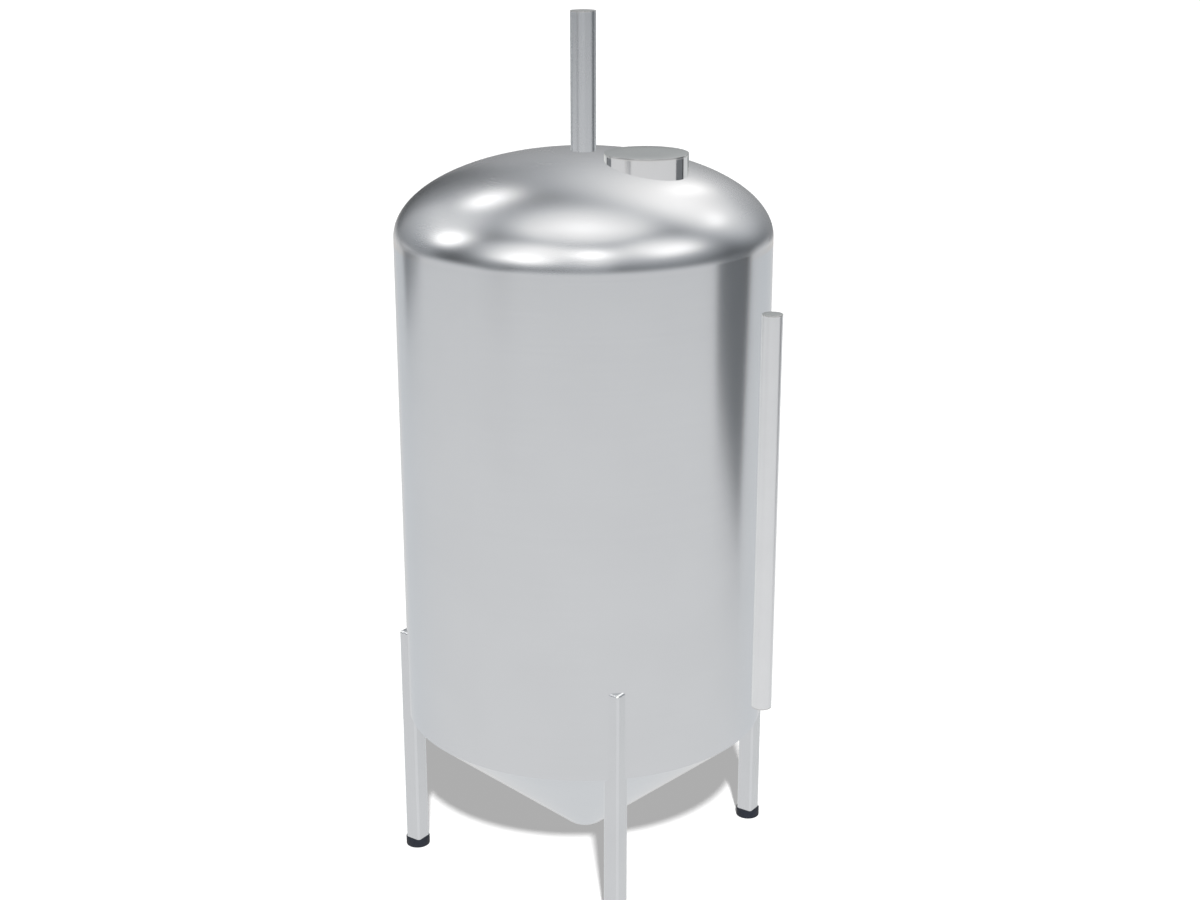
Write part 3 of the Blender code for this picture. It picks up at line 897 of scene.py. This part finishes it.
def placed(plan, height, turn):
    """Plan points of a leg and their heights, moved out to the leg's place and turned there."""
    x = LEG_OFFSET + plan[..., 0]
    y = plan[..., 1]
    return raised(np.stack([x * cos(turn) - y * sin(turn), x * sin(turn) + y * cos(turn)], -1), height)


def vessel_under(plan):
    """Height of the vessel's underside over a plan point: the cone inside the shell's radius."""
    radius = np.hypot(LEG_OFFSET + plan[..., 0], plan[..., 1])
    return SHELL_BOTTOM_Z - np.maximum(SHELL_RADIUS - radius, 0.0) * tan(CONE_SLOPE)


def upright_rows(outline):
    """An outline repeated for each row of an upright wall."""
    return np.broadcast_to(outline, (WALL_STEPS + 1, *outline.shape))


def leg_patches(turn):
    """The leg's closed body: walls below and beside the vessel, the two faces that lie against
    it, and the flat ends."""
    outer = outer_outline(0.0)
    inner = inner_outline()
    whole = np.concatenate([outer, inner[1:-1]])
    wall_height = between(np.full(len(whole), LEG_FOOT_Z), vessel_under(whole), WALL_STEPS)
    side_height = between([SHELL_BOTTOM_Z], [LEG_CAP_Z], WALL_STEPS)
    coped = between(inner, shell_arc(inner), FILL_STEPS)
    top = between(outer, shell_arc(outer), FILL_STEPS)
    middle = between(whole, np.zeros_like(whole), FILL_STEPS)
    return [patch(placed(upright_rows(whole), wall_height, turn), close_columns=True),
            patch(placed(upright_rows(outer), side_height, turn)),
            patch(placed(upright_rows(shell_arc(outer)), side_height, turn)),
            patch(placed(coped, vessel_under(coped), turn)),
            patch(placed(top, LEG_CAP_Z, turn)),
            patch(placed(middle, LEG_FOOT_Z, turn), close_columns=True)]


def cap_patches(turn):
    """The cap's closed body: a low upright rim, a quarter round over it, the flat top, the face
    against the shell and the underside."""
    lift = np.radians(np.linspace(0.0, 90.0, CAP_ROUND_STEPS + 1))
    insets = np.concatenate([[0.0], LEG_CORNER * (1.0 - np.cos(lift))])
    heights = np.concatenate([[LEG_CAP_Z], LEG_TOP_Z - LEG_CORNER + LEG_CORNER * np.sin(lift)])
    rim = np.stack([outer_outline(inset) for inset in insets])
    back = np.stack([shell_arc(ring) for ring in rim])
    return [patch(placed(rim, heights[:, None], turn)),
            patch(placed(back, heights[:, None], turn)),
            patch(placed(between(rim[-1], back[-1], FILL_STEPS), LEG_TOP_Z, turn)),
            patch(placed(between(rim[0], back[0], FILL_STEPS), LEG_CAP_Z, turn))]


def grinding_marks(tree, stretched, band, depth):
    """Relief of the lines that grinding leaves in a band, in metres."""
    marks = use_group(tree, STEEL_RUBBING, stretched=stretched, lines_per_metre=MARKS_PER_METRE)
    return calc(tree, "MULTIPLY", calc(tree, "MULTIPLY", marks.outputs["Lines"], band), depth)


def leg_steel():
    """Drawn section whose flats carry upright lines. Its corners are ground across and its
    cap's rim over the edge, which leaves them coarser; a lighter tone on both bands is a
    painted highlight. A leg is met on an axis, so its own plan is the larger of |x| and |y|
    less its offset, and the smaller."""
    material, tree, place, x, y, z = new_steel("leg_grind_and_highlight")
    x_size = calc(tree, "ABSOLUTE", x)
    y_size = calc(tree, "ABSOLUTE", y)
    outwards = calc(tree, "SUBTRACT", calc(tree, "MAXIMUM", x_size, y_size), LEG_OFFSET)
    sideways = calc(tree, "MINIMUM", x_size, y_size)
    from_diagonal = calc(tree, "MINIMUM", calc(tree, "ABSOLUTE", outwards), sideways)
    corner = soft_step(tree, from_diagonal, CORNER_BAND, CORNER_SOFTNESS)
    from_rim = calc(tree, "ABSOLUTE", calc(tree, "SUBTRACT", z, LEG_TOP_Z - LEG_CORNER / 2))
    rim = soft_step(tree, from_rim, RIM_BAND, RIM_SOFTNESS)
    across = grinding_marks(tree, lines_round(tree, x, y, z, MARK_STRETCH), corner, CORNER_MARK_DEPTH)
    over = grinding_marks(tree, lines_upright(tree, x, y, z, MARK_STRETCH), rim, RIM_MARK_DEPTH)
    # Painted highlight: the corner and rim bands are made lighter in tone
    painted_highlight = calc(tree, "MULTIPLY_ADD", rim, RIM_HIGHLIGHT_GAIN, 1.0)
    painted_highlight = calc(tree, "MULTIPLY_ADD", corner, CORNER_HIGHLIGHT_GAIN, painted_highlight)
    tone = vector_calc(tree, "MULTIPLY", STEEL_TONE, painted_highlight)
    steel_finish(tree, place, lines_upright(tree, x, y, z), tone, LEG_ROUGHNESS, DRAWN_LINES,
                 DRAWN_CLOUDS, line_depth=LEG_LINE_DEPTH, marks_height=calc(tree, "ADD", across, over))
    return material


# The legs' steel carries a painted highlight on its corners and cap rims
leg_grind_and_highlight = leg_steel()
for side, turn in LEG_TURNS.items():
    leg = add_piece("support_leg_" + side, leg_patches(turn), leg_grind_and_highlight, outward=True)
    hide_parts("leg_" + side)
    cap = add_piece("support_cap_" + side, cap_patches(turn), leg_grind_and_highlight, outward=True)
    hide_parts("leg_cap_" + side)

# Feet
# A round pad of black rubber, 140 mm across, moulded with small round edges. The leg's square
# end stands on it.
FOOT_RADIUS = 0.070
FOOT_EDGE = 0.003
RUBBER_DARK = (0.012, 0.015, 0.022, 1.0)
RUBBER_PALE = (0.021, 0.025, 0.035, 1.0)
RUBBER_SHINE = 0.15
RUBBER_ROUGHNESS = 0.45
RUBBED_ROUGHER = 0.15
RUBBED_PER_METRE = 45.0
PEBBLES_PER_METRE = 900.0
PEBBLE_DEPTH = 0.00008


def black_rubber():
    """Moulded rubber: a blue-black skin with a fine pebble from noise and slightly paler rubbed
    patches."""
    material = bpy.data.materials.new("foot_rubber")
    material.use_nodes = True
    tree = material.node_tree
    shader = tree.nodes["Principled BSDF"]
    place = add_node(tree, "ShaderNodeTexCoord").outputs["Object"]
    rubbed = noise(tree, place, RUBBED_PER_METRE, Detail=4.0)
    colour = add_node(tree, "ShaderNodeMix", data_type="RGBA")
    feed(tree, colour.inputs[0], rubbed)
    feed(tree, colour.inputs[6], RUBBER_DARK)
    feed(tree, colour.inputs[7], RUBBER_PALE)
    feed(tree, shader.inputs["Base Color"], colour.outputs[2])
    shader.inputs["Specular IOR Level"].default_value = RUBBER_SHINE
    rough = calc(tree, "MULTIPLY_ADD", rubbed, RUBBED_ROUGHER, RUBBER_ROUGHNESS)
    feed(tree, shader.inputs["Roughness"], rough)
    relief = add_node(tree, "ShaderNodeBump")
    relief.inputs["Distance"].default_value = PEBBLE_DEPTH
    feed(tree, relief.inputs["Height"], noise(tree, place, PEBBLES_PER_METRE, Detail=2.0))
    feed(tree, shader.inputs["Normal"], relief.outputs["Normal"])
    return material


foot_rubber = black_rubber()
for side, turn in LEG_TURNS.items():
    foot = add_plate("rubber_foot_" + side, FOOT_RADIUS, 0.0, LEG_FOOT_Z, FOOT_EDGE, foot_rubber,
                     centre=(LEG_OFFSET * cos(turn), LEG_OFFSET * sin(turn)))
    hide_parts("foot_" + side)
